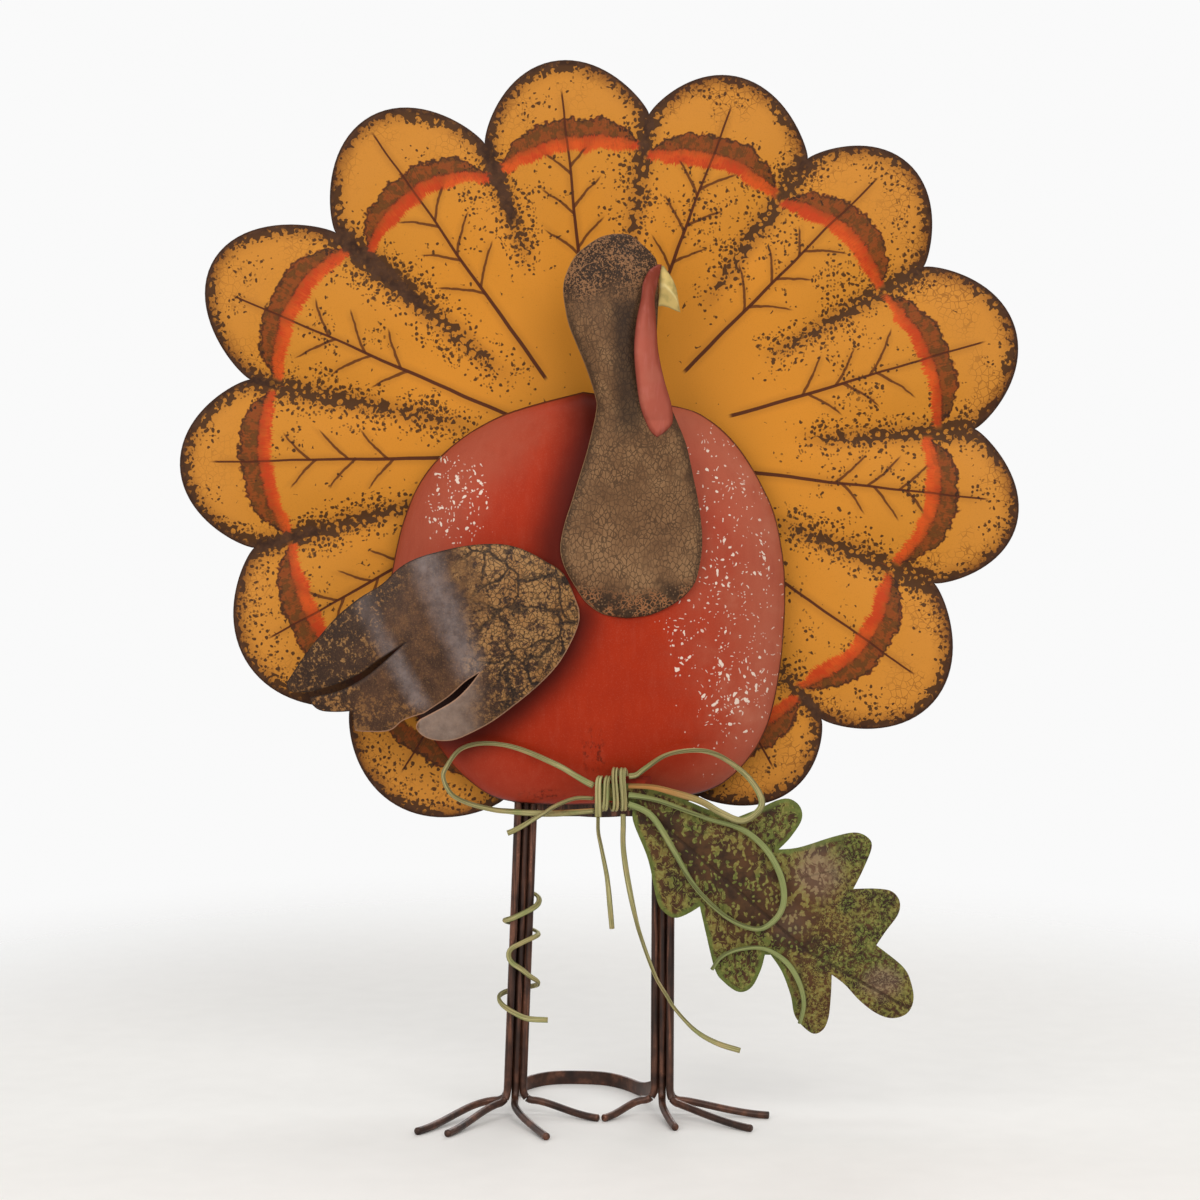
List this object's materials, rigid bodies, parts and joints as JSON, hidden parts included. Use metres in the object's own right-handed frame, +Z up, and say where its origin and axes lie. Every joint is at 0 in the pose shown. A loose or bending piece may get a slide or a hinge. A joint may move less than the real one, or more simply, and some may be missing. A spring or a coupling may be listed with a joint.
{
  "type": "thanksgiving turkey figure",
  "caption": "Standing turkey of painted sheet metal: scalloped tail fan, domed body, head, wing and rod legs, with an oak leaf and a raffia bow, propped on its toes and a rear brace.",
  "frame": {"origin": "on the floor, under the middle of the figure's bounding box", "axes": "+Z up, the front faces -Y, +X to the viewer's right when looking at the front"},
  "size_m": [0.7292, 0.2198, 0.9163],
  "materials": {
    "ochre_paint": "hand-sponged satin lacquer over bronze",
    "red_paint": "rubbed satin lacquer with pale speckle",
    "crackle_paint": "brown crackle lacquer with copper speckle",
    "wattle_paint": "satin",
    "beak_paint": "satin",
    "wing_paint": "dark glossy crackle with ochre spots",
    "leaf_paint": "matt green mottle over brown",
    "bronze_paint": "dark bronze, glossy",
    "zinc": "zinc plated",
    "raffia": "matt dyed raffia"
  },
  "bodies": {
    "root": {"tail_fan": "ochre_paint", "body_shell": "red_paint", "head_neck": "crackle_paint", "wattle": "wattle_paint", "beak": "beak_paint", "wing": "wing_paint", "wing_spacer_root": "bronze_paint", "wing_spacer_middle": "bronze_paint", "wing_nut_root": "zinc", "wing_nut_middle": "zinc", "neck_nut_lower": "zinc", "neck_nut_upper": "zinc", "left_leg_rod_outer": "bronze_paint", "left_leg_rod_middle": "bronze_paint", "left_leg_rod_inner": "bronze_paint", "left_leg_rod_front": "bronze_paint", "right_leg_rod_outer": "bronze_paint", "right_leg_rod_middle": "bronze_paint", "right_leg_rod_inner": "bronze_paint", "right_leg_rod_front": "bronze_paint", "rear_brace": "bronze_paint", "crossbar": "bronze_paint", "bow_bracket": "bronze_paint", "oak_leaf": "leaf_paint", "left_hip_plate": "bronze_paint", "right_hip_plate": "bronze_paint", "left_hip_nut_lower": "zinc", "left_hip_nut_upper": "zinc", "right_hip_nut_lower": "zinc", "right_hip_nut_upper": "zinc", "strut_nut": "zinc", "body_strap_lower": "bronze_paint", "body_strap_upper": "bronze_paint", "head_strut": "bronze_paint", "raffia_knot": "raffia", "raffia_loop_left": "raffia", "raffia_loop_right": "raffia", "raffia_loop_low": "raffia", "raffia_tail_long": "raffia", "raffia_tail_short": "raffia", "raffia_tail_left": "raffia", "raffia_tail_leg": "raffia", "raffia_strand_leaf": "raffia"}
  },
  "joints": []
}
